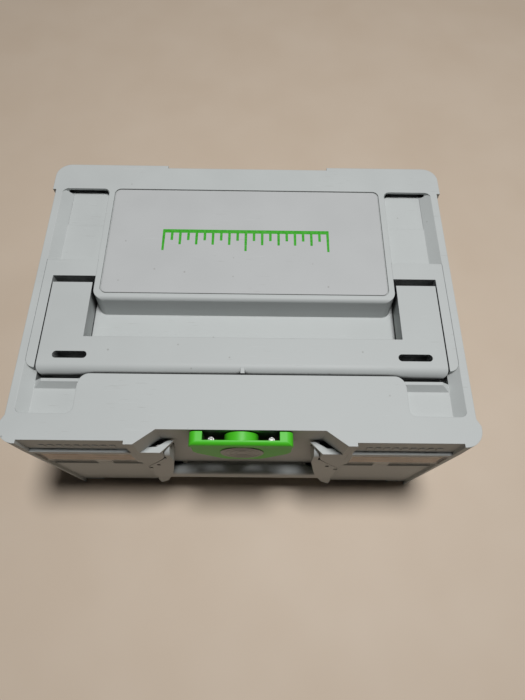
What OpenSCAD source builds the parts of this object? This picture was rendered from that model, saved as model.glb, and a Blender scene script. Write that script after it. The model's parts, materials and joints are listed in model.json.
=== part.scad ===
// Stackable tool case with a folding lid handle, a folding front handle and one rotary latch.
// Origin: centre of the footprint, on the surface that the feet stand on. Front is -Y, up is +Z.

/* [Case] */
// Width of the case, side to side
case_w = 396; // [380:1:420]
// Depth of the case, front to back
case_d = 296; // [286:1:310]
// Height of the closed case
case_h = 187; // [180:1:240]
// Height of the lid above the parting line
lid_h = 29.5; // [28:0.5:34]
// Radius of the upright corners
corner_r = 15; // [12:1:20]
// Thickness of the moulded walls
wall = 2.7; // [2:0.1:3.5]

/* [Base] */
// How far each side leans in at the floor
lean_x = 6.5; // [2:0.5:8]
// How far the front and back lean in at the floor
lean_y = 1.5; // [0:0.5:3]
// Height of the feet under the floor plate
foot_h = 7; // [4:0.5:12]
// Half the width of the bay for the latch and the front handle
bay_half = 92; // [90:0.5:96]
// Depth of the bay behind the front of the case
bay_depth = 12.75; // [11:0.25:15]

/* [Lid] */
// Half the width of the raised middle of the lid
block_half = 139.5; // [130:0.5:145]
// Depth of the four stacking pockets
pocket_deep = 7.8; // [6:0.1:10]
// Depth of the well that the lid handle folds into
well_deep = 23; // [21:0.5:24]

/* [Lid handle] */
// Thickness of the lid handle
handle_t = 18.5; // [16:0.5:19]
// Distance from the pivot to the outer edge of the grip
handle_reach = 80.8; // [78:0.2:82]
// Angle that the lid handle folds up
handle_up = 90; // [60:5:90]

/* [Front handle] */
// Height of the front handle's pivot above the floor
front_pivot_z = 144; // [140:1:146]
// Height of the top of the front grip when folded
grip_top = 64; // [60:1:70]
// Height of the front grip, top to bottom
grip_h = 22; // [18:1:26]

/* [Latch] */
// Height of the latch's turning axis above the floor
latch_z = 148; // [144:1:150]
// Half the length of the latch's crossbar
latch_half = 43; // [38:0.5:46]

/* [Hidden] */
$fn = 64;

grey = "#B9BDBD";
pale = "#C3C6C6";
green = "#4CBB35";
steel = "#B8B8B8";

hx = case_w / 2;
hy = case_d / 2;
part_z = case_h - lid_h;          // parting line
bay_y = -hy + bay_depth;          // back wall of the front bay
over = 1;                         // how far a cutter runs past a face

// Lid layout
rim_x = hx - 3.3;                 // side of the lid between its corner blocks
pocket_x = 188;                   // outer edge of the pockets at the top
pocket_floor_x = 178.8;           // outer edge of the pockets at their floor
well_x = 179;                     // side of the well beside the handle
well_front = -86.8;
deck_round = 9;                   // back corners of the front deck
block_front = -12.5;
arm_end = 4.4;                    // back end of the handle's arms
bearing_front = 11.5;
bearing_back = 29.4;
pocket_back = 116.25;
front_pocket = [-122.5, -98.2];
ridge_y = [-93.5, -90.8];         // flat top of the ridge behind each front pocket
ridge_top = case_h - 2;
cheek_x = 179.4;
cheek_end = -81;
bearing_x = pocket_x - 0.05;
plate_half = [133.3, 60.75];
plate_mid_y = 54.75;
plate_t = 1;
groove = 1;

// Lid handle
pivot_y = -5;
pivot_z = case_h - 9.5;
arm_in = 141.5;
arm_out = 178.3;
grip_in_y = -51.5;
pin_r = 3;
fit = 0.05;                       // running clearance of a pin
strap = [30, 6.6];
strap_at = [151, -69.2];

// Hinge
hinge_y = hy - 3.5;
hinge_r = 3.5;
hinge_pin_r = 1.8;
hinge_x = [95, 108, 122, 135];    // base knuckle, lid knuckle, base knuckle
back_wall = 142.8;                // back of the base under the lid's overhang

// Front handle
front_pivot_y = -138.5;
ear_r = 9.3;
ear_x = [63.2, 68];
front_y = -147.8;
arm_back_y = -136.2;
cone_rate = 1.62;                 // how fast the seam cone widens along X
cone_end = 91.5;
seam = 0.6;
arm_foot_x = 79.5;                // inner side of an arm at its lower end
arm_foot_z = grip_top - grip_h - 3;

// Latch
latch_front = -147.6;
shield_y = -144.6;
latch_back = -136.2;
latch_top = case_h - 0.6;
shaft_r = 6;
emblem_r = 19;
latch_wall_y = -143.5;            // back of the crossbar's front wall
latch_pocket_z = 158;
screw_at = [25.4, -140.3, 168];

// Labels
label_x = [97, 181.5];
label_z = [117, 150.5];
label_y = -145.1;
scoop_y = -131;

// ---------- helpers ----------
module rrect(w, d, r) {
    square([w - 2 * r, d], center = true);
    square([w, d - 2 * r], center = true);
    for (sx = [-1, 1], sy = [-1, 1])
        translate([sx * (w / 2 - r), sy * (d / 2 - r)]) circle(r);
}
module slab(w, d, r, z0, z1) translate([0, 0, z0]) linear_extrude(z1 - z0) rrect(w, d, r);
module box(a, b) translate(a) cube(b - a);
module along_x(x0, x1) translate([x0, 0, 0]) rotate([90, 0, 90]) linear_extrude(x1 - x0) children();
module along_y(y0, y1) translate([0, y1, 0]) rotate([90, 0, 0]) linear_extrude(y1 - y0) children();
module rod_x(x0, x1, y, z, r) translate([x0, y, z]) rotate([0, 90, 0]) cylinder(h = x1 - x0, r = r);
module rod_y(y0, y1, x, z, r) translate([x, y1, z]) rotate([90, 0, 0]) cylinder(h = y1 - y0, r = r);
module both() { children(); mirror([1, 0, 0]) children(); }
module side(s) mirror([s < 0 ? 1 : 0, 0, 0]) children();

// ---------- base ----------
// Solid outer form: corner posts lean in towards the floor
module base_form() {
    hull() {
        slab(case_w, case_d, corner_r, part_z - 0.01, part_z);
        slab(case_w - 2 * lean_x, case_d - 2 * lean_y, corner_r - 2, 0, 0.01);
    }
}
// Seam surface between a front arm and its bracket, a cone about the front pivot
module seam_cone(shrink, x1) {
    x0 = ear_x[1] + shrink;
    translate([x0, front_pivot_y, front_pivot_z]) rotate([0, 90, 0])
        cylinder(h = x1 - x0, r1 = ear_r - shrink, r2 = ear_r - shrink + cone_rate * (x1 - x0));
}
module pillar_profile() {
    r = 45;
    intersection() {
        translate([arm_foot_x + r, r]) circle(r);
        translate([arm_foot_x, 0]) square([bay_half + over - arm_foot_x, arm_foot_z - 0.5]);
    }
}
module base_cavity() {
    z0 = foot_h + wall;
    z1 = part_z + over;
    side_in = rim_x - 4.2 - wall - 0.5;
    slab_front = -139.6;
    slab_back = back_wall - wall;
    difference() {
        translate([0, (slab_front + slab_back) / 2, 0])
            slab(2 * side_in, slab_back - slab_front, 10, z0, z1);
        box([-bay_half - wall, -hy, 0], [bay_half + wall, bay_y + wall, z1 + over]);
        // backing of the finger pocket behind the front grip
        box([-66.5, -hy, 0], [66.5, -115.4, grip_top + 5.6]);
        both() {
            // backing of the scoops under the labels
            box([label_x[0] - 4, -hy, 93], [label_x[1] + 4, scoop_y + 2.7, label_z[0] + 3]);
            // backing of the ear pockets
            box([ear_x[0] - 4, -hy, front_pivot_z - 13], [ear_x[1] + 4, -125.6, front_pivot_z + 20]);
        }
    }
}
module base_shell() color(grey) {
    difference() {
        union() {
            difference() {
                base_form();
                base_cavity();
                base_outside_cuts();
            }
            // floor ribs
            for (x = [-120, -40, 40, 120]) box([x - 0.8, -110, foot_h + 1], [x + 0.8, 132, foot_h + wall + 2.5]);
            both() {
                // pillar under each front arm, down to the floor
                along_y(-hy + 0.2, bay_y + 0.5) pillar_profile();
                // outer knuckles of the hinge
                for (k = [0, 2]) knuckle(hinge_x[k] + 0.25, hinge_x[k + 1] - 0.25, -1);
                // slide rail
                box([rim_x - 4.8, -118, 24], [rim_x - 1.6, 110, 30]);
            }
            // pad that backs the latch bush
            box([-12, bay_y + 0.5, latch_z - 12], [12, bay_y + 6, part_z]);
        }
        rod_y(bay_y - over, bay_y + 6 + over, 0, latch_z, 9);
        both() {
            rod_x(hinge_x[1] - 0.2, hinge_x[2] + 0.2, hinge_y, part_z, hinge_r + 0.6);
            rod_x(hinge_x[0] - over, hinge_x[3] + over, hinge_y, part_z, hinge_pin_r);
            rod_x(ear_x[0] - 1.5, ear_x[1] + 0.6, front_pivot_y, front_pivot_z, ear_r + 0.6);
        }
    }
}
module base_outside_cuts() {
    // gap under the floor plate, leaving the corner feet
    box([-hx, -hy + 36, -over], [hx, hy - 36, foot_h]);
    box([-hx + 36, -hy - over, -over], [hx - 36, hy + over, foot_h]);
    // front bay
    box([-bay_half, -hy - over, foot_h - over], [bay_half, bay_y, part_z + over]);
    // finger pocket behind the grip
    box([-64, bay_y - over, grip_top - grip_h - 18], [64, -118, grip_top + 3]);
    // overhang clearance at the back
    box([-hx - over, back_wall, part_z - 9.5], [hx + over, hy + over, part_z + over]);
    box([-hx + 18, back_wall, foot_h - over], [hx - 18, hy + over, part_z]);
    both() {
        // lower front panel, with a little draft
        along_x(bay_half + 1.5, label_x[1])
            polygon([[-hy - 5, -over], [-142.5, -over], [-144.8, label_z[0] - 20],
                     [-144.8, label_z[0]], [-hy - 5, label_z[0]]]);
        // label pocket
        box([label_x[0], -hy - over, label_z[0]], [label_x[1], label_y, label_z[1]]);
        // finger scoops under the label, either side of a bridge
        for (x = [[label_x[0], 125], [139.5, label_x[1]]])
            along_x(x[0], x[1])
                polygon([[-hy - 5, label_z[0]], [scoop_y, label_z[0]], [scoop_y, label_z[0] - 6],
                         [-144.9, label_z[0] - 20], [-hy - 5, label_z[0] - 20]]);
        // recessed side panel
        box([rim_x - 4.2, -122, foot_h + 6], [hx + over, 113, part_z - 7.5]);
        box([rim_x, -122, part_z - 8], [hx + over, 113, part_z + over]);
    }
}
// Hinge knuckle with its web: toward = -1 joins the base wall, toward = 1 joins the lid
module knuckle(x0, x1, toward) {
    rod_x(x0, x1, hinge_y, part_z, hinge_r);
    if (toward < 0)
        box([x0, back_wall - 2, part_z - hinge_r - 5], [x1, hinge_y + 1.2, part_z - 0.01]);
    else
        box([x0, hinge_y - 1.2, part_z], [x1, hinge_y + hinge_r, part_z + 5]);
}
// Bracket that carries one end of the front handle
module front_bracket(s) color(grey) side(s) {
    difference() {
        intersection() {
            translate([0, 0, 80]) linear_extrude(part_z - 80)
                polygon([[bay_half - 0.2, -hy + 0.1], [70, -hy + 0.1], [59.2, -137], [59.2, bay_y - 0.2],
                         [bay_half - 0.2, bay_y - 0.2]]);
            union() {
                box([ear_x[1] + 0.6, -hy, front_pivot_z], [bay_half, bay_y, part_z]);
                box([50, -hy, front_pivot_z + ear_r + 0.7], [ear_x[1] + 0.6, bay_y, part_z]);
                seam_cone(seam, cone_end + 0.3);
            }
        }
        // hollow beside the lid's slanted corner
        translate([0, 0, part_z - 12]) linear_extrude(12 + over)
            polygon([[81, -143], [74, -142.7], [64.1, -137], [58, -137], [58, bay_y + over], [81, bay_y + over]]);
        // the pin's seat
        rod_x(ear_x[1] - over, 84, front_pivot_y, front_pivot_z, 2.5);
    }
}
module front_pin(s) color(steel) side(s)
    rod_x(ear_x[0] + 0.3, 84, front_pivot_y, front_pivot_z, 2.5);
module label_window(s) color("#DCE0DE", 0.4) side(s)
    box([label_x[0] + 0.3, -147.2, label_z[0] + 0.3], [label_x[1] - 0.3, -146, label_z[1] - 0.4]);
module label_card(s) color("#D8C4AE") side(s)
    box([label_x[0] + 2, -145.7, label_z[0] + 1], [label_x[1] - 2, -145.2, label_z[1] - 2]);
module hinge_pin(s) color(steel) side(s)
    rod_x(hinge_x[0] + 0.5, hinge_x[3] - 0.5, hinge_y, part_z, hinge_pin_r);
module latch_bush() color("#4A4D4E") difference() {
    rod_y(bay_y, bay_y + 6, 0, latch_z, 8.95);
    rod_y(bay_y - over, bay_y + 6 + over, 0, latch_z, shaft_r + fit);
}

// ---------- lid ----------
module lid_plan() {
    difference() {
        rrect(case_w, case_d, corner_r);
        polygon([[-87.5 - 1.4, -hy - over], [-70, bay_y], [70, bay_y], [87.5 + 1.4, -hy - over]]);
        translate([-83, hy - 3.2]) square([166, 5]);
        for (m = [0, 1]) mirror([m, 0]) {
            polygon([[rim_x, -124], [rim_x, 115], [hx + over, 115], [hx + over, -132]]);
            translate([95, -hy - over]) square([87, 3 + over]);
        }
    }
}
module lid_form() translate([0, 0, part_z]) linear_extrude(lid_h) lid_plan();
// Everything cut into the top, grown by g all round and below
module top_cuts(g) {
    top = case_h + over;
    floor_z = case_h - pocket_deep - g;
    well_z = case_h - well_deep - g;
    // well for the lid handle, and the recess of each bearing's cheek
    difference() {
        union() {
            box([-well_x - g, well_front - g, well_z], [well_x + g, bearing_back + g, top]);
            both() {
                box([block_half - deck_round, ridge_y[1] - g, well_z], [well_x + g, well_front + over, top]);
                box([well_x - over, cheek_end + 8, well_z], [pocket_x + g, bearing_back + g, top]);
                intersection() {
                    translate([cheek_x, cheek_end + 8, well_z])
                        cylinder(h = top - well_z, r = pocket_x - cheek_x + g);
                    box([well_x - over, cheek_end - 8, well_z], [pocket_x + g, cheek_end + 9, top]);
                }
            }
        }
        block_form(g);
        both() deck_corner(g, well_z - over);
    }
    both() {
        // space outside the rounded back corner of the front deck
        difference() {
            box([block_half - deck_round, well_front - deck_round, floor_z],
                [block_half + 1, ridge_y[1], top]);
            deck_corner(g, floor_z - over);
        }
        // back pocket, outer wall slanted
        intersection() {
            along_y(bearing_back - g, pocket_back + g) pocket_section(g, floor_z, top);
            pocket_plan(g, -40, pocket_back);
        }
        // shallow step across the back half of the pocket's floor
        if (g == 0) box([block_half + 0.5, 76, floor_z - 0.4], [pocket_floor_x, pocket_back, floor_z + over]);
        // hook slot under the back rim
        if (g == 0) box([block_half + 0.5, pocket_back - over, case_h - pocket_deep],
                        [pocket_floor_x + 4, pocket_back + 8, case_h - 2.4]);
        // front pocket, its slanted outer wall running on to the cheek
        intersection() {
            along_y(front_pocket[0] - g, cheek_end + 6) pocket_section(g, floor_z, top);
            pocket_plan(g, front_pocket[0], 60);
        }
    }
}
module deck_corner(g, z0)
    translate([block_half - deck_round, well_front - deck_round, z0])
        cylinder(h = case_h + 2 * over - z0, r = deck_round - g);
// Plan of a pocket between y0 and y1, with rounded corners
module pocket_plan(g, y0, y1)
    translate([(block_half + 0.5 + pocket_x) / 2, (y0 + y1) / 2, 0])
        slab(pocket_x - block_half - 0.5 + 2 * g, y1 - y0 + 2 * g, 6 + g, part_z, case_h + over);
module pocket_section(g, floor_z, top)
    polygon([[block_half + 0.5 - g, floor_z], [pocket_floor_x + g * 0.7, floor_z],
             [pocket_x + g, case_h], [pocket_x + g, top], [block_half + 0.5 - g, top]]);
// Raised middle block: sloped front with a rounded top edge, rounded corners in plan
module block_form(g) {
    draft = 5;
    lean = atan(draft / well_deep);
    round_r = 4.5;
    front = block_front + g;
    round_y = front + round_r * (1 - sin(lean)) / cos(lean);
    back = 90;
    intersection() {
        along_x(-block_half, block_half) {
            polygon([[front - draft, part_z], [front - draft, case_h - well_deep],
                     [round_y - round_r * cos(lean), case_h - round_r * (1 - sin(lean))],
                     [round_y, case_h - round_r], [round_y, case_h], [back, case_h], [back, part_z]]);
            translate([round_y, case_h - round_r]) circle(round_r);
            translate([round_y, case_h - over]) square([back - round_y, 2 * over + 1]);
        }
        // rounded corners that lean with the front
        translate([0, front - draft - 0.02, case_h - well_deep]) rotate([-lean, 0, 0])
            translate([0, back, -part_z]) slab(2 * (block_half - g), 2 * back, 9, part_z - 10, part_z + 40);
    }
}
// Ridge at the back of each front pocket, sloped at its front and its outer end
module ridge() {
    base_z = case_h - pocket_deep - 1;
    floor_z = case_h - pocket_deep;
    intersection() {
        along_x(block_half - deck_round, pocket_x)
            polygon([[front_pocket[1], base_z], [front_pocket[1], floor_z], [ridge_y[0], ridge_top],
                     [ridge_y[1], ridge_top], [ridge_y[1], base_z]]);
        along_y(front_pocket[1] - over, well_front)
            polygon([[block_half - deck_round, base_z], [block_half - deck_round, ridge_top],
                     [172, ridge_top], [pocket_floor_x, floor_z], [pocket_floor_x, base_z]]);
    }
}
module lid_cavity() difference() {
    translate([0, 1, 0]) slab(2 * (rim_x - wall), case_d - 12, 12, part_z - over, case_h - wall);
    box([-90, -hy, part_z - 2], [90, bay_y + wall, case_h]);
    top_cuts(wall);
    both() box([block_half - 3, pocket_back, case_h - pocket_deep - wall],
               [pocket_floor_x + 6, pocket_back + 11, case_h]);
}
module lid_shell() color(grey) {
    difference() {
        union() {
            difference() {
                lid_form();
                lid_cavity();
                top_cuts(0);
            }
            both() {
                ridge();
                knuckle(hinge_x[1] + 0.25, hinge_x[2] - 0.25, 1);
            }
            // ribs under the raised block
            for (x = [-90, -45, 0, 45, 90]) box([x - 0.8, 0, part_z + 14], [x + 0.8, 125, case_h - 1.5]);
            for (y = [30, 65, 100]) box([-125, y - 0.8, part_z + 18], [125, y + 0.8, case_h - 1.5]);
        }
        // seat of the cover plate
        translate([0, plate_mid_y, 0])
            slab(2 * (plate_half[0] + groove), 2 * (plate_half[1] + groove), 6, case_h - plate_t - 0.4, case_h + over);
        both() {
            for (k = [0, 2])
                rod_x(hinge_x[k] - 0.1, hinge_x[k + 1] + 0.1, hinge_y, part_z, hinge_r + 0.6);
            rod_x(hinge_x[0] - over, hinge_x[3] + over, hinge_y, part_z, hinge_pin_r + fit);
        }
    }
}
module lid_plate() color(pale)
    translate([0, plate_mid_y, 0])
        slab(2 * plate_half[0], 2 * plate_half[1], 5, case_h - plate_t - 0.4, case_h - 0.3);
// Bearing housing: block behind the arm and a cheek beside it
module handle_bearing(s) color(grey) side(s) difference() {
    z0 = case_h - well_deep;
    z1 = case_h - 0.2;
    union() {
        box([block_half + 0.05, bearing_front, z0], [bearing_x, bearing_back - 0.05, z1]);
        box([cheek_x, cheek_end + 8, z0], [bearing_x, bearing_front + over, z1]);
        intersection() {
            translate([cheek_x, cheek_end + 8, z0]) cylinder(h = z1 - z0, r = bearing_x - cheek_x);
            box([cheek_x, cheek_end - over, z0], [bearing_x, cheek_end + 8, z1]);
        }
    }
    rod_x(cheek_x - over, 186, pivot_y, pivot_z, pin_r);
}
module handle_pin(s) color(steel) side(s) rod_x(168.4, 185.9, pivot_y, pivot_z, pin_r);

// ---------- lid handle ----------
// Arm and grip seen from the side: rounded outer edge, rounded lower back end
module handle_section() {
    z0 = case_h - 0.2 - handle_t;
    nose = 9;
    nose_y = pivot_y - handle_reach + handle_t / 2;
    translate([nose_y, z0]) square([arm_end - nose - nose_y, handle_t]);
    translate([nose_y, z0 + handle_t / 2]) circle(handle_t / 2);
    translate([arm_end - nose, z0 + nose]) square([nose, handle_t - nose]);
    translate([arm_end - nose, z0 + nose]) circle(nose);
}
module lid_handle() color(grey) {
    grip_y = pivot_y - handle_reach;
    z0 = case_h - 40;
    cell_top = case_h - 3.2;
    cells = 7;
    cell = 2 * 132 / cells;
    rib = 2.4;
    difference() {
        intersection() {
            along_x(-arm_out, arm_out) handle_section();
            // rounded outer corners of the grip
            translate([0, grip_y + 100, z0]) linear_extrude(60) rrect(2 * arm_out, 200, 5);
        }
        // open middle
        box([-arm_in, grip_in_y, z0], [arm_in, arm_end + over, case_h + over]);
        // ribbed hollow under the grip
        for (i = [0 : cells - 1])
            box([-132 + i * cell + rib / 2, grip_y + 9, z0], [-132 + (i + 1) * cell - rib / 2, grip_in_y - 3, cell_top]);
        both() {
            // hollow under each arm
            box([arm_in + 3, grip_in_y + 3, z0], [arm_out - 11, pivot_y - 9, cell_top]);
            // strap slot through the grip
            translate([strap_at[0], strap_at[1], z0]) linear_extrude(60)
                rrect(strap[0], strap[1], strap[1] / 2 - 0.01);
            rod_x(168, arm_out + over, pivot_y, pivot_z, pin_r + fit);
        }
    }
    // small tab on the middle of the outer edge
    box([-1.8, grip_y + 0.6, case_h - 4], [1.8, grip_y + 6, case_h - 0.25]);
}

// ---------- front handle ----------
// Arm seen from the front: its inner side leans out towards the grip
module arm_profile()
    polygon([[ear_x[0], front_pivot_z], [ear_x[0], 124], [66, 105], [69.8, 80], [73.3, 62.5],
             [arm_foot_x, arm_foot_z], [cone_end - 0.1, arm_foot_z], [cone_end - 0.1, front_pivot_z]]);
module front_arm() difference() {
    union() {
        difference() {
            along_y(front_y, arm_back_y) arm_profile();
            seam_cone(0, cone_end + over);
            // everything above the ear, so that the raised arm passes the bracket's front
            box([ear_x[1], front_y - over, front_pivot_z - ear_r - 0.5], [cone_end + over, 0, front_pivot_z + over]);
        }
        rod_x(ear_x[0], ear_x[1], front_pivot_y, front_pivot_z, ear_r);
    }
    rod_x(ear_x[0] - over, ear_x[1] + over, front_pivot_y, front_pivot_z, 2.5 + fit);
    // two small square recesses in the front face
    box([78.4, front_y - over, 104.5], [81.6, front_y + 2, 109.5]);
    box([87.8, front_y - over, 91.5], [cone_end, front_y + 2, 95.5]);
}
module front_handle() color(grey) {
    both() front_arm();
    // grip with rounded edges
    r = 4.5;
    along_x(-arm_foot_x - over, arm_foot_x + over)
        translate([(front_y + arm_back_y) / 2, grip_top - grip_h / 2]) rrect(arm_back_y - front_y, grip_h, r);
}

// ---------- latch ----------
module shield_plan() {
    z_knee = 150;
    z_foot = 121.5;
    polygon([[-latch_half, latch_top - 6], [-latch_half, z_knee], [-latch_half + 3, z_knee - 7], [-18, z_foot + 1.5],
             [-14, z_foot], [14, z_foot], [18, z_foot + 1.5], [latch_half - 3, z_knee - 7],
             [latch_half, z_knee], [latch_half, latch_top - 6]]);
}
module crossbar_plan() {
    translate([0, (latch_top + 165) / 2]) rrect(2 * latch_half, latch_top - 165, 6);
}
module latch_knob() color(green) {
    r = 3.8;
    intersection() {
        difference() {
            union() {
                along_y(shield_y, shield_y + 3) shield_plan();
                // crossbar, deeper than the shield
                along_y(shield_y + 1, latch_back) crossbar_plan();
                along_y(latch_front, shield_y + 1.01) intersection() {
                    crossbar_plan();
                    translate([-60, latch_top - 8]) square([120, 20]);
                }
            }
            // pocket for the screws, open at the top
            box([-31.8, latch_wall_y, latch_pocket_z], [31.8, latch_back + over, latch_top + over]);
        }
        // rounded front edge along the top
        along_x(-60, 60) {
            translate([latch_front + r, latch_top - r]) circle(r);
            translate([latch_front, 100]) square([20, latch_top - r - 100]);
            translate([latch_front + r, 100]) square([20, latch_top + over - 100]);
        }
    }
    // posts for the screws
    both() translate([screw_at[0], screw_at[1], latch_pocket_z - over])
        cylinder(h = screw_at[2] - latch_pocket_z + over, r = 3.4);
    // round boss in the middle of the pocket
    rod_y(-143.6, latch_back, 0, latch_top - 14.5, 14.5);
    rod_y(shield_y + 1, bay_y - 0.3, 0, latch_z, 12);
    rod_y(bay_y - over, bay_y + 7, 0, latch_z, shaft_r);
}
module latch_emblem() color("#9EA09E") rod_y(shield_y - 0.8, shield_y, 0, latch_z, emblem_r);
module latch_screws() color("#D9DADA") both() {
    translate(screw_at) cylinder(h = 4, r = 1.9);
    translate([screw_at[0], screw_at[1], screw_at[2] + 4]) difference() {
        cylinder(h = 2.6, r = 3.1);
        translate([0, 0, 1.2]) cylinder(h = 3, r = 1.5, $fn = 6);
    }
}
module latch_retainer() color(steel) rod_y(bay_y + 7, bay_y + 8.5, 0, latch_z, 8.5);

base_shell();
front_bracket(-1);  // front_bracket_left
front_bracket(1);  // front_bracket_right
label_window(-1);  // label_window_left
label_window(1);  // label_window_right
label_card(-1);  // label_card_left
label_card(1);  // label_card_right
latch_bush();
hinge_pin(-1);  // hinge_pin_left
hinge_pin(1);  // hinge_pin_right
front_pin(-1);  // front_pin_left
front_pin(1);  // front_pin_right
lid_shell();
lid_plate();
handle_bearing(-1);  // handle_bearing_left
handle_bearing(1);  // handle_bearing_right
handle_pin(-1);  // handle_pin_left
handle_pin(1);  // handle_pin_right
lid_handle();
front_handle();
latch_knob();
latch_emblem();
latch_screws();
latch_retainer();
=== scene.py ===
import json
import math

import bmesh
import bpy
from mathutils import Matrix, Vector


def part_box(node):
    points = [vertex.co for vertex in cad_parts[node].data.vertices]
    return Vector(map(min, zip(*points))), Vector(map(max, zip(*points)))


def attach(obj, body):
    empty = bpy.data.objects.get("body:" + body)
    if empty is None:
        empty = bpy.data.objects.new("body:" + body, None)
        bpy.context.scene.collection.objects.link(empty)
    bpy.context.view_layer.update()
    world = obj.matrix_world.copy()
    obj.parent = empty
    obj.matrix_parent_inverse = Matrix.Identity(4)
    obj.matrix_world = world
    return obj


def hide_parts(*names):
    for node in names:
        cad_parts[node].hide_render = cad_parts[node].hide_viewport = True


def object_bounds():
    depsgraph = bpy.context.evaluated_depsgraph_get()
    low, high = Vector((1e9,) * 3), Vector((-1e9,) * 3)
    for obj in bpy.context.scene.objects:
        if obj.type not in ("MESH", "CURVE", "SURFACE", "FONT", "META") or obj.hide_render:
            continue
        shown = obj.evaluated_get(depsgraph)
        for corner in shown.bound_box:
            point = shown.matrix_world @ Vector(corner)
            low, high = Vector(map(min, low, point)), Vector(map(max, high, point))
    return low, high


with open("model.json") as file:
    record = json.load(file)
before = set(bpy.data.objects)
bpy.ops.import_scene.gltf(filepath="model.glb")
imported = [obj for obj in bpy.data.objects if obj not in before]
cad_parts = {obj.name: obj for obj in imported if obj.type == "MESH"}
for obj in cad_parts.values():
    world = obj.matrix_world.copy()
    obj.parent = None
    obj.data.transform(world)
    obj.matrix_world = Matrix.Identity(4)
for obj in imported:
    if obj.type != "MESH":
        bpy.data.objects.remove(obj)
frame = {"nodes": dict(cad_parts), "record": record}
cad_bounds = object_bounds()
nodes = frame["nodes"]
record = frame["record"]
mm = 0.001

# ---------- the case's own measures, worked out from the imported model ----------
case_low, case_high = cad_bounds
seam_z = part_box("lid_shell")[0].z
slots = {part["node"]: part["material_slot"] for part in record["subparts"]}
bodies = {name: body for body, members in record["behaviour"]["bodies"].items() for name in members}


# ---------- helpers ----------
def linear(code):
    """An sRGB hex colour as linear RGBA."""
    shares = [int(code[i:i + 2], 16) / 255 for i in (1, 3, 5)]
    return [c / 12.92 if c < 0.04045 else ((c + 0.055) / 1.055) ** 2.4 for c in shares] + [1]


def node(tree, kind, inputs=None, **settings):
    """Adds a node with its settings. An input, by name or number, takes a value or another node's output."""
    made = tree.nodes.new(kind)
    for name, value in settings.items():
        setattr(made, name, value)
    for key, value in (inputs or {}).items():
        if isinstance(value, bpy.types.NodeSocket):
            tree.links.new(value, made.inputs[key])
        else:
            made.inputs[key].default_value = value
    return made


def linked(name, mesh):
    """A new object at the origin that holds the mesh."""
    made = bpy.data.objects.new(name, mesh)
    bpy.context.scene.collection.objects.link(made)
    return made


def apply_modifiers(work):
    """Gives the object its evaluated mesh and removes its modifiers."""
    graph = bpy.context.evaluated_depsgraph_get()
    final = work.evaluated_get(graph)
    mesh = bpy.data.meshes.new_from_object(final, preserve_all_data_layers=True, depsgraph=graph)
    work.modifiers.clear()
    work.data = mesh


def place(piece, body, finish):
    """Puts a finished piece on its body and its one material."""
    piece.data.materials.clear()
    piece.data.materials.append(finish)
    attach(piece, body)
    return piece


# ---------- materials ----------
def surface(name):
    """An empty material with its tree, its Principled shader and Object coordinates in metres."""
    made = bpy.data.materials.new(name)
    made.use_nodes = True
    tree = made.node_tree
    tree.nodes.clear()
    shader = node(tree, "ShaderNodeBsdfPrincipled")
    node(tree, "ShaderNodeOutputMaterial", {"Surface": shader.outputs[0]})
    where = node(tree, "ShaderNodeTexCoord").outputs["Object"]
    return made, tree, shader, where


def mixed(tree, share, first, second):
    """A colour that goes from first to second as share goes from 0 to 1."""
    return node(tree, "ShaderNodeMix", {0: share, 6: first, 7: second}, data_type="RGBA").outputs[2]


def ramped(tree, value, low, high, to_low=0.0, to_high=1.0):
    """The value, taken from low..high to to_low..to_high and held there."""
    sockets = {0: value, 1: low, 2: high, 3: to_low, 4: to_high}
    return node(tree, "ShaderNodeMapRange", sockets).outputs[0]


def noise(tree, where, size, detail):
    """Smooth noise from 0 to 1, in blotches of about that size."""
    sockets = {"Vector": where, "Scale": 1 / size, "Detail": detail}
    return node(tree, "ShaderNodeTexNoise", sockets).outputs[0]


def multiplied(tree, first, second):
    """One value times another."""
    return node(tree, "ShaderNodeMath", {0: first, 1: second}, operation="MULTIPLY").outputs[0]


def wired(tree, shader, **inputs):
    """Links each output to the shader's input of that name, with _ for a space."""
    for name, value in inputs.items():
        tree.links.new(value, shader.inputs[name.replace("_", " ")])


def scuffs(tree, where, turn, length, gap, share):
    """Mask of fine scratches of about that length, a gap apart, on a share of the surface."""
    sockets = {"Vector": where, "Rotation": (0.3, 0.2, turn), "Scale": (1 / length, 1 / gap, 1 / gap)}
    stretched = node(tree, "ShaderNodeMapping", sockets).outputs[0]
    lines = noise(tree, stretched, 1, 2)
    area = noise(tree, where, 55 * mm, 1)
    thin = ramped(tree, lines, 0.69, 0.74)
    patch = ramped(tree, area, 0.62 - share, 0.68 - share)
    return multiplied(tree, thin, patch)


def specks(tree, where, apart, size, share):
    """Mask of small spots of dirt, about that far apart, present on a share of the places."""
    cells = node(tree, "ShaderNodeTexVoronoi", {"Vector": where, "Scale": 1 / apart, "Randomness": 1})
    spot = ramped(tree, cells.outputs["Distance"], size / apart, 0.5 * size / apart)
    kept = node(tree, "ShaderNodeSeparateColor", {0: cells.outputs["Color"]}).outputs[0]
    chosen = ramped(tree, kept, share + 0.02, share - 0.02)
    return multiplied(tree, spot, chosen)


def edge_wear(tree, rounded):
    """Mask that is high where the rounded normal leaves the face's own, as handling polishes edges there."""
    flat = node(tree, "ShaderNodeNewGeometry").outputs["Normal"]
    compared = node(tree, "ShaderNodeVectorMath", {0: rounded, 1: flat}, operation="DOT_PRODUCT")
    return ramped(tree, compared.outputs["Value"], 0.995, 0.93)


def relief(tree, strength, depth, height, under=None):
    """The normal of a surface that rises by depth where height is 1, on top of the normal under it."""
    sockets = {"Strength": strength, "Distance": depth, "Height": height}
    if under:
        sockets["Normal"] = under
    return node(tree, "ShaderNodeBump", sockets).outputs[0]


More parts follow.
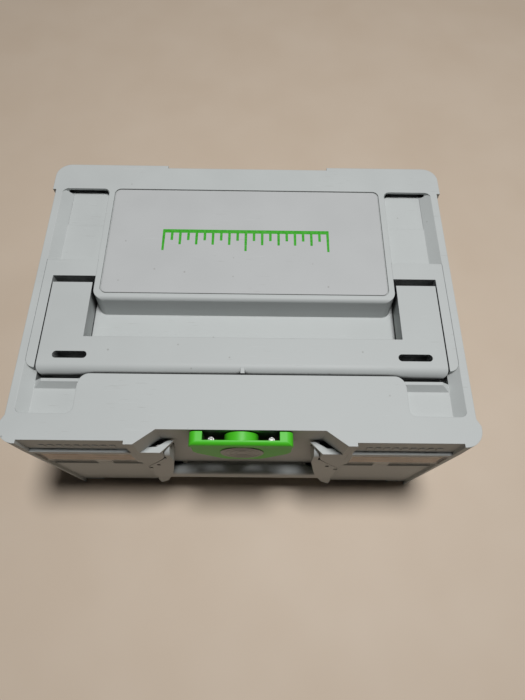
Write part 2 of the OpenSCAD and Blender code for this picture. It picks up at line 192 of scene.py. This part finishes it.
def moulded(name, code, roughness=0.5, grain=1.0, dirt_and_shade=1.0, worn=0.35, shade=(0.36, 0.18)):
    """ABS shot in a spark-eroded steel mould: dead even colour, a fine matte grain, soft broad highlights.
    Use adds grey rub marks, specks of workshop dirt, painted shade in the corners and paler, smoother edges;
    the dirt argument scales both the dirt marks and the painted corner shade.
    shade holds how open a place is, from 1 down to 0, where painted shade in narrow gaps begins and where it
    is black."""
    made, tree, shader, where = surface(name)
    base = linear(code)
    darker = [0.965 * c for c in base[:3]] + [1]
    paler = [min(1, 1.16 * c + 0.01) for c in base[:3]] + [1]
    # this colour serves real grime and also the painted shade in the corners
    grime_and_shade = [0.5 * base[0], 0.475 * base[1], 0.44 * base[2], 1]

    # flow and sink marks over tens of millimetres
    flow = noise(tree, where, 48 * mm, 2)
    colour = mixed(tree, ramped(tree, flow, 0.35, 0.65), darker, base)
    # grain of the eroded mould is about 0.15 mm on the real part, drawn at 0.8 mm so that it shows
    fine = noise(tree, where, 0.8 * mm, 3)
    colour = mixed(tree, ramped(tree, fine, 0.3, 0.7, 0.0, 0.16 * grain), colour, darker)

    rub = scuffs(tree, where, 0.5, 34 * mm, 0.9 * mm, 0.12 * dirt_and_shade)
    rub_back = scuffs(tree, where, 2.3, 22 * mm, 0.7 * mm, 0.08 * dirt_and_shade)
    colour = mixed(tree, multiplied(tree, rub, 0.45), colour, paler)
    colour = mixed(tree, multiplied(tree, rub_back, 0.5), colour, grime_and_shade)
    spots = specks(tree, where, 15 * mm, 1.1 * mm, 0.34 * dirt_and_shade)
    smudges = specks(tree, where, 43 * mm, 3.2 * mm, 0.22 * dirt_and_shade)
    colour = mixed(tree, multiplied(tree, spots, 0.6), colour, grime_and_shade)
    colour = mixed(tree, multiplied(tree, smudges, 0.12), colour, grime_and_shade)
    # painted shade: ambient occlusion darkens corners and creases, as if little light reached them
    open_air = node(tree, "ShaderNodeAmbientOcclusion", {"Distance": 5 * mm}, samples=4).outputs["AO"]
    colour = mixed(tree, ramped(tree, open_air, 0.75, 0.2, 0.0, 0.3 * dirt_and_shade), colour, grime_and_shade)
    # painted shade: ambient occlusion darkens narrow gaps and slots almost to black, as deep shade
    shut_in = node(tree, "ShaderNodeAmbientOcclusion", {"Distance": 14 * mm}, samples=8).outputs["AO"]
    black = [0.04 * c for c in base[:3]] + [1]
    colour = mixed(tree, ramped(tree, shut_in, *shade), colour, black)
    # the mould's edges have a radius of about 0.7 mm
    rounded = node(tree, "ShaderNodeBevel", {"Radius": 0.7 * mm}, samples=6).outputs[0]
    edge = edge_wear(tree, rounded)
    colour = mixed(tree, multiplied(tree, edge, worn), colour, paler)

    matte = ramped(tree, flow, 0.3, 0.7, roughness - 0.04, roughness + 0.05)
    matte = node(tree, "ShaderNodeMath", {0: rub, 1: 0.1, 2: matte}, operation="MULTIPLY_ADD").outputs[0]
    matte = node(tree, "ShaderNodeMath", {0: edge, 1: -0.12, 2: matte}, operation="MULTIPLY_ADD").outputs[0]
    swell = relief(tree, 0.35, 0.25 * mm, flow, rounded)
    grained = relief(tree, 0.22 * grain, 0.06 * mm, fine, swell)
    scratched = relief(tree, 0.3, 0.04 * mm, rub_back, grained)
    wired(tree, shader, Base_Color=colour, Roughness=matte, Normal=scratched)
    shader.inputs["IOR"].default_value = 1.53
    return made


def drawn_steel(name, code, roughness, turned):
    """Bright steel: fine lines along a drawn pin, fine grain on a turned head, both dulled in patches."""
    made, tree, shader, where = surface(name)
    base = linear(code)
    dull = [0.62 * c for c in base[:3]] + [1]
    marks = (0.5 * mm, 0.5 * mm, 0.5 * mm) if turned else (14 * mm, 0.25 * mm, 0.25 * mm)
    scale = [1 / size for size in marks]
    lines = node(tree, "ShaderNodeMapping", {"Vector": where, "Scale": scale}).outputs[0]
    streak = noise(tree, lines, 1, 3)
    tarnish = noise(tree, where, 2.5 * mm, 2)
    colour = mixed(tree, ramped(tree, tarnish, 0.45, 0.75, 0.0, 0.7), base, dull)
    rough = ramped(tree, streak, 0.3, 0.7, roughness - 0.06, roughness + 0.1)
    bump = relief(tree, 0.3, 0.02 * mm, streak)
    wired(tree, shader, Base_Color=colour, Roughness=rough, Normal=bump)
    shader.inputs["Metallic"].default_value = 1
    return made


def clear_sheet():
    """Polycarbonate sheet: clear, faintly smoked, with hairline scratches that break up its reflections."""
    made, tree, shader, where = surface("clear_polycarbonate")
    rub = scuffs(tree, where, 0.2, 18 * mm, 0.6 * mm, 0.2)
    rough = ramped(tree, rub, 0, 1, 0.08, 0.35)
    wired(tree, shader, Roughness=rough, Normal=relief(tree, 0.25, 0.03 * mm, rub))
    shader.inputs["Base Color"].default_value = linear("#E9E6E0")
    shader.inputs["Alpha"].default_value = 0.2
    shader.inputs["IOR"].default_value = 1.58
    return made


def card(name, blocks):
    """Buff printed card: soft paper fibre under flat ink. blocks holds (x, z, width, height, colour)."""
    made, tree, shader, where = surface(name)
    fibre = noise(tree, where, 0.7 * mm, 4)
    stain = noise(tree, where, 16 * mm, 2)
    colour = mixed(tree, ramped(tree, fibre, 0.35, 0.65), linear("#CDB49B"), linear("#DCC6AF"))
    colour = mixed(tree, ramped(tree, stain, 0.45, 0.75, 0.0, 0.5), colour, linear("#B79A80"))
    spot = node(tree, "ShaderNodeSeparateXYZ", {0: where})
    for x, z, width, height, ink in blocks:
        sides = []
        for socket, middle, half in ((spot.outputs["X"], x, width / 2), (spot.outputs["Z"], z, height / 2)):
            compare = {0: socket, 1: middle, 2: half}
            sides.append(node(tree, "ShaderNodeMath", compare, operation="COMPARE").outputs[0])
        colour = mixed(tree, multiplied(tree, *sides), colour, linear(ink))
    wired(tree, shader, Base_Color=colour, Normal=relief(tree, 0.2, 0.05 * mm, fibre))
    shader.inputs["Roughness"].default_value = 0.85
    return made


def print_ink():
    """Pad-printed green ink: a thin satin film, a little thinner and paler in places, rubbed in others."""
    made, tree, shader, where = surface("printed_green_ink")
    cover = noise(tree, where, 2.2 * mm, 4)
    rubbed = scuffs(tree, where, 1.1, 12 * mm, 0.6 * mm, 0.2)
    colour = mixed(tree, ramped(tree, cover, 0.35, 0.7), linear("#2F9C18"), linear("#45B02C"))
    colour = mixed(tree, multiplied(tree, rubbed, 0.6), colour, linear("#8FC283"))
    wired(tree, shader, Base_Color=colour, Roughness=ramped(tree, cover, 0.3, 0.7, 0.36, 0.5))
    shader.inputs["IOR"].default_value = 1.5
    return made


def floor_laminate():
    """Plain pale worktop board: even, matte, with hardly any grain."""
    made, tree, shader, where = surface("pale_board")
    cloud = noise(tree, where, 1 / 9, 2)
    colour = mixed(tree, ramped(tree, cloud, 0.3, 0.7), linear("#CBB9A5"), linear("#CFBEAB"))
    wired(tree, shader, Base_Color=colour)
    shader.inputs["Roughness"].default_value = 0.6
    return made


body_abs = moulded("body_abs_grey", "#BABEBD", roughness=0.62)
plate_abs = moulded("plate_abs_grey", "#B8BABA", roughness=0.6, grain=0.7, worn=0.25)
handle_abs = moulded("handle_abs_grey", "#B8BCBB", roughness=0.58, grain=0.6, shade=(0.47, 0.3))
latch_green = moulded("latch_green_abs", "#48C21C", roughness=0.5, grain=0.4, dirt_and_shade=0.6)
emblem_abs = moulded("emblem_abs_grey", "#8D918C", roughness=0.4, grain=0.4, dirt_and_shade=0.6)
bush_acetal = moulded("bush_acetal_black", "#2C2E2F", roughness=0.4, grain=0.3, dirt_and_shade=0.4)
pin_steel = drawn_steel("pin_drawn_steel", "#B9B8B6", 0.32, turned=False)
screw_zinc = drawn_steel("screw_zinc_plated", "#8A8A88", 0.4, turned=True)
window_clear = clear_sheet()
ink = print_ink()
finishes = {
    "body_abs": body_abs, "plate_abs": plate_abs, "handle_abs": handle_abs, "latch_green": latch_green,
    "emblem_grey": emblem_abs, "bush_plastic": bush_acetal, "pin_steel": pin_steel, "screw_zinc": screw_zinc,
    "clear_window": window_clear,
}


# ---------- pieces that stand for a CAD node, with their edges rounded in the mesh ----------
def softened(name, width, least_turn=26):
    """Stands for a CAD node, with each edge that turns by more than least_turn degrees rounded by width."""
    shape = bmesh.new()
    shape.from_mesh(nodes[name].data)
    bmesh.ops.remove_doubles(shape, verts=shape.verts, dist=0.04 * mm)
    bmesh.ops.dissolve_limit(shape, angle_limit=math.radians(0.4), verts=shape.verts, edges=shape.edges)
    weight = shape.edges.layers.float.new("bevel_weight_edge")
    for edge in shape.edges:
        if edge.is_manifold and edge.calc_face_angle() > math.radians(least_turn):
            edge[weight] = 1
    # a face with holes in it keeps its shape only when it is cut into triangles
    bmesh.ops.triangulate(shape, faces=[face for face in shape.faces if len(face.verts) > 4])
    for face in shape.faces:
        face.smooth = True
    mesh = bpy.data.meshes.new(name + "_moulded")
    shape.to_mesh(mesh)
    shape.free()
    piece = linked(name + "_moulded", mesh)
    rounding = piece.modifiers.new("rounding", "BEVEL")
    rounding.limit_method = "WEIGHT"
    rounding.width = width
    rounding.segments = 2
    rounding.use_clamp_overlap = False
    rounding.loop_slide = False
    shading = piece.modifiers.new("shading", "WEIGHTED_NORMAL")
    shading.keep_sharp = True
    apply_modifiers(piece)
    place(piece, bodies[name], finishes[slots[name]])
    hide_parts(name)


edge_rounding = {"lid_plate": 0.5 * mm, "handle_bearing_left": 0.3 * mm, "handle_bearing_right": 0.3 * mm}
for name, width in edge_rounding.items():
    softened(name, width)


# ---------- rows of small moulded or printed bars ----------
def bar_row_tree():
    """Geometry nodes: a row of rounded bars, each width x height in plan, thick along Z, a pitch apart."""
    tree = bpy.data.node_groups.new("bar_row", "GeometryNodeTree")
    sockets = tree.interface
    sockets.new_socket("Geometry", in_out="INPUT", socket_type="NodeSocketGeometry")
    for label in ("Width", "Height", "Thickness", "Corner", "Pitch"):
        sockets.new_socket(label, in_out="INPUT", socket_type="NodeSocketFloat")
    sockets.new_socket("Count", in_out="INPUT", socket_type="NodeSocketInt")
    sockets.new_socket("Geometry", in_out="OUTPUT", socket_type="NodeSocketGeometry")
    given = node(tree, "NodeGroupInput").outputs
    outline = node(tree, "GeometryNodeCurvePrimitiveQuadrilateral",
                   {"Width": given["Width"], "Height": given["Height"]}).outputs[0]
    rounded = node(tree, "GeometryNodeFilletCurve",
                   {"Curve": outline, "Count": 4, "Radius": given["Corner"]}, mode="POLY").outputs[0]
    flat = node(tree, "GeometryNodeFillCurve", {"Curve": rounded}, mode="NGONS").outputs[0]
    up = node(tree, "ShaderNodeCombineXYZ", {"Z": given["Thickness"]}).outputs[0]
    raised = node(tree, "GeometryNodeExtrudeMesh",
                  {"Mesh": flat, "Offset": up, "Offset Scale": 1, "Individual": False}).outputs["Mesh"]
    under = node(tree, "GeometryNodeFlipFaces", {"Mesh": flat}).outputs[0]
    halves = node(tree, "GeometryNodeJoinGeometry")
    for half in (raised, under):
        tree.links.new(half, halves.inputs[0])
    closed = node(tree, "GeometryNodeMergeByDistance",
                  {"Geometry": halves.outputs[0], "Distance": 0.001 * mm}).outputs[0]
    step = node(tree, "ShaderNodeCombineXYZ", {"X": given["Pitch"]}).outputs[0]
    points = node(tree, "GeometryNodeMeshLine",
                  {"Count": given["Count"], "Offset": step}, mode="OFFSET").outputs[0]
    copies = node(tree, "GeometryNodeInstanceOnPoints", {"Points": points, "Instance": closed}).outputs[0]
    real = node(tree, "GeometryNodeRealizeInstances", {"Geometry": copies}).outputs[0]
    node(tree, "NodeGroupOutput", {"Geometry": real})
    return tree


bar_rows = bar_row_tree()


def bar_row(name, matrix, count, pitch, width, height, thickness, corner):
    """One row of bars, with its place in the mesh. The first bar's middle is at the matrix's origin."""
    piece = linked(name, bpy.data.meshes.new(name))
    row = piece.modifiers.new("row", "NODES")
    row.node_group = bar_rows
    sizes = {"Width": width, "Height": height, "Thickness": thickness, "Corner": corner,
             "Pitch": pitch, "Count": count}
    for socket in bar_rows.interface.items_tree:
        if socket.in_out == "INPUT" and socket.name in sizes:
            row[socket.identifier] = sizes[socket.name]
    apply_modifiers(piece)
    piece.data.transform(matrix)
    return piece


def joined(name, parts):
    """Several mesh objects as one, under that name."""
    shape = bmesh.new()
    for part in parts:
        shape.from_mesh(part.data)
        bpy.data.objects.remove(part)
    mesh = bpy.data.meshes.new(name)
    shape.to_mesh(mesh)
    shape.free()
    return linked(name, mesh)


def printed_ruler():
    """A plain measuring scale in green ink on the cover plate, with longer marks at whole steps."""
    plate_low, plate_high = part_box("lid_plate")
    length, line, tick = 160 * mm, 4 * mm, 2.6 * mm
    film, sunk, overlap = 0.12 * mm, 0.01 * mm, 1.2 * mm
    ink_z = plate_high.z - sunk
    line_y = (plate_low.y + plate_high.y) / 2 + 9.5 * mm
    rows = [bar_row("ruler_line", Matrix.Translation((0, line_y, ink_z)), 1, 0,
                    length + tick, line, film, 0.6 * mm)]
    # each row is a little thinner than the one before, so that no two faces lie in one plane
    marks = (
        ("fine", 8 * mm, 10 * mm, 0.95),
        ("mid", 16 * mm, 15 * mm, 0.9),
        ("long", 80 * mm, 22 * mm, 0.85),
    )
    for label, pitch, reach, share in marks:
        start = Matrix.Translation((-length / 2, line_y - line / 2 - reach / 2 + overlap, ink_z))
        rows.append(bar_row("ruler_" + label, start, round(length / pitch) + 1, pitch,
                            share * tick, reach, share * film, 0.5 * mm))
    place(joined("printed_ruler", rows), "case_lid", ink)


def panel_ribs(side, first_x):
    """Short raised ribs on the recessed strip at the front of the lid, the first of them at first_x."""
    strip_depth, sunk = 3 * mm, 0.1 * mm
    upright = Matrix.Rotation(math.radians(90), 4, "X")
    start = Matrix.Translation((first_x, case_low.y + strip_depth + sunk, seam_z + 14 * mm)) @ upright
    row = bar_row("panel_ribs_" + side, start, 9, 7.4 * mm, 4.6 * mm, 8 * mm, 0.7 * mm, 0.9 * mm)
    place(row, "case_lid", body_abs)


printed_ruler()
panel_ribs("left", -167 * mm)
panel_ribs("right", 108 * mm)


# ---------- turned small pieces ----------
def lathed(name, profile, sides, matrix):
    """A closed shape turned round Z from (radius, height) points that start and end on the axis.
    A point's third number gives its ring six lobes, as a share of the radius."""
    shape = bmesh.new()
    rings = []
    for radius, height, *lobes in profile:
        if radius == 0:
            rings.append([shape.verts.new((0, 0, height))])
            continue
        ring = []
        for step in range(sides):
            turn = 2 * math.pi * step / sides
            reach = radius * (1 + sum(lobes) * math.cos(6 * turn))
            ring.append(shape.verts.new((reach * math.cos(turn), reach * math.sin(turn), height)))
        rings.append(ring)
    for low, high in zip(rings, rings[1:]):
        for i in range(sides):
            j = (i + 1) % sides
            corners = [low[i % len(low)], low[j % len(low)], high[j % len(high)], high[i % len(high)]]
            shape.faces.new(list(dict.fromkeys(corners)))
    bmesh.ops.recalc_face_normals(shape, faces=shape.faces)
    shape.transform(matrix)
    mesh = bpy.data.meshes.new(name)
    shape.to_mesh(mesh)
    shape.free()
    for face in mesh.polygons:
        face.use_smooth = True
    mesh.set_sharp_from_angle(angle=math.radians(30))
    return linked(name, mesh)


def ringed_emblem():
    """Round inlay in the middle of the latch, with plain grooves in rings."""
    emblem_low, emblem_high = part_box("latch_emblem")
    depth = emblem_high.y - emblem_low.y
    radius = (emblem_high.x - emblem_low.x) / 2
    chamfer, groove, groove_width = 0.3 * mm, 0.35 * mm, 1.6 * mm
    profile = [(0, 0), (radius, 0), (radius, depth - chamfer), (radius - chamfer, depth)]
    for share in (0.84, 0.6, 0.36):
        outer = share * radius
        inner = outer - groove_width
        profile += [(outer, depth), (outer - groove, depth - groove),
                    (inner + groove, depth - groove), (inner, depth)]
    profile.append((0, depth))
    facing = Matrix.Translation((0, emblem_high.y, (emblem_low.z + emblem_high.z) / 2))
    facing @= Matrix.Rotation(math.radians(90), 4, "X")
    piece = lathed("latch_inlay", profile, 96, facing)
    place(piece, "latch", emblem_abs)
    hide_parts("latch_emblem")


def star_screws():
    """Zinc-plated pan-head screws with a six-lobed recess, either side of the latch's boss."""
    screw_low, screw_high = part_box("latch_screws")
    head = (screw_high.y - screw_low.y) / 2
    shank, round_over, lobe, deep = 0.61 * head, 0.6 * mm, 0.15, 1.4 * mm
    foot, top = screw_low.z, screw_high.z
    under, shoulder = top - 2.6 * mm, top - 2 * round_over
    profile = [(0, foot), (shank, foot), (shank, under), (head, under), (head, shoulder)]
    for angle in (22.5, 45, 67.5, 90):
        away = math.radians(angle)
        inward, below = round_over * (1 - math.cos(away)), 2 * round_over * (1 - math.sin(away))
        profile.append((head - inward, top - below))
    profile += [(0.56 * head, top, lobe / 3), (0.5 * head, top - 0.15 * mm, lobe),
                (0.46 * head, top - deep, lobe), (0, top - deep)]
    pair = []
    for x in (screw_low.x + head, screw_high.x - head):
        spot = Matrix.Translation((x, (screw_low.y + screw_high.y) / 2, 0))
        pair.append(lathed("latch_screw", profile, 48, spot))
    piece = place(joined("latch_star_screws", pair), "latch", screw_zinc)
    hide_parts("latch_screws")


ringed_emblem()
star_screws()


# ---------- CAD nodes that are shown as they are ----------
def finish_node(name, finish):
    """Gives a CAD node its one material."""
    materials = nodes[name].data.materials
    materials.clear()
    materials.append(finish)


def printed_card(side):
    """The card behind a label window, printed with one block and three lines in place of words."""
    low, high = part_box("label_card_" + side)
    middle = (low + high) / 2
    layout = (
        (-20, 8, 26, 6, "#A5705A"),
        (18, 9, 22, 1.6, "#7C6E63"),
        (18, 4, 22, 1.6, "#7C6E63"),
        (-8, -6, 50, 1.2, "#8E8073"),
    )
    blocks = [(middle.x + x * mm, middle.z + z * mm, width * mm, height * mm, shade)
              for x, z, width, height, shade in layout]
    finish_node("label_card_" + side, card("printed_card_" + side, blocks))


for name in nodes:
    if slots[name] in finishes:
        finish_node(name, finishes[slots[name]])
for side in ("left", "right"):
    printed_card(side)


# ---------- floor, light and camera ----------
def studio():
    """A worktop under the case, a faint sky, a soft lamp overhead and a weak one from the right."""
    floor = bmesh.new()
    half_width = 4
    bmesh.ops.create_grid(floor, x_segments=1, y_segments=1, size=half_width)
    mesh = bpy.data.meshes.new("floor")
    floor.to_mesh(mesh)
    floor.free()
    board = linked("floor", mesh)
    mesh.materials.append(floor_laminate())

    world = bpy.data.worlds.new("studio")
    world.use_nodes = True
    background = world.node_tree.nodes["Background"]
    background.inputs["Color"].default_value = linear("#E6EAF0")
    background.inputs["Strength"].default_value = 0.02
    bpy.context.scene.world = world

    lamps = (("overhead", (0.22, 0.08, 2.4), 0.5, 46), ("side", (2.0, 0.4, 1.3), 0.6, 3))
    for label, spot, size, power in lamps:
        light = bpy.data.lights.new(label, "AREA")
        light.shape = "DISK"
        light.size = size
        light.energy = power
        lamp = bpy.data.objects.new(label, light)
        lamp.location = spot
        lamp.rotation_euler = Vector(spot).to_track_quat("Z", "Y").to_euler()
        bpy.context.scene.collection.objects.link(lamp)


def camera():
    """Looks down on the lid from in front, as a person who stands at the table does."""
    lens = bpy.data.cameras.new("camera")
    lens.sensor_width = 36
    lens.lens = 25.714
    viewer = bpy.data.objects.new("camera", lens)
    above_lid = 0.3987
    eye = (0.0137, -0.245, case_high.z + above_lid)
    tilt, yaw, roll = (math.radians(angle) for angle in (24.512, -1.066, 1.593))
    turn = Matrix.Rotation(yaw, 4, "Z") @ Matrix.Rotation(tilt, 4, "X") @ Matrix.Rotation(roll, 4, "Z")
    viewer.matrix_world = Matrix.Translation(eye) @ turn
    bpy.context.scene.collection.objects.link(viewer)
    bpy.context.scene.camera = viewer


studio()
camera()
bpy.context.scene.view_settings.view_transform = "Standard"
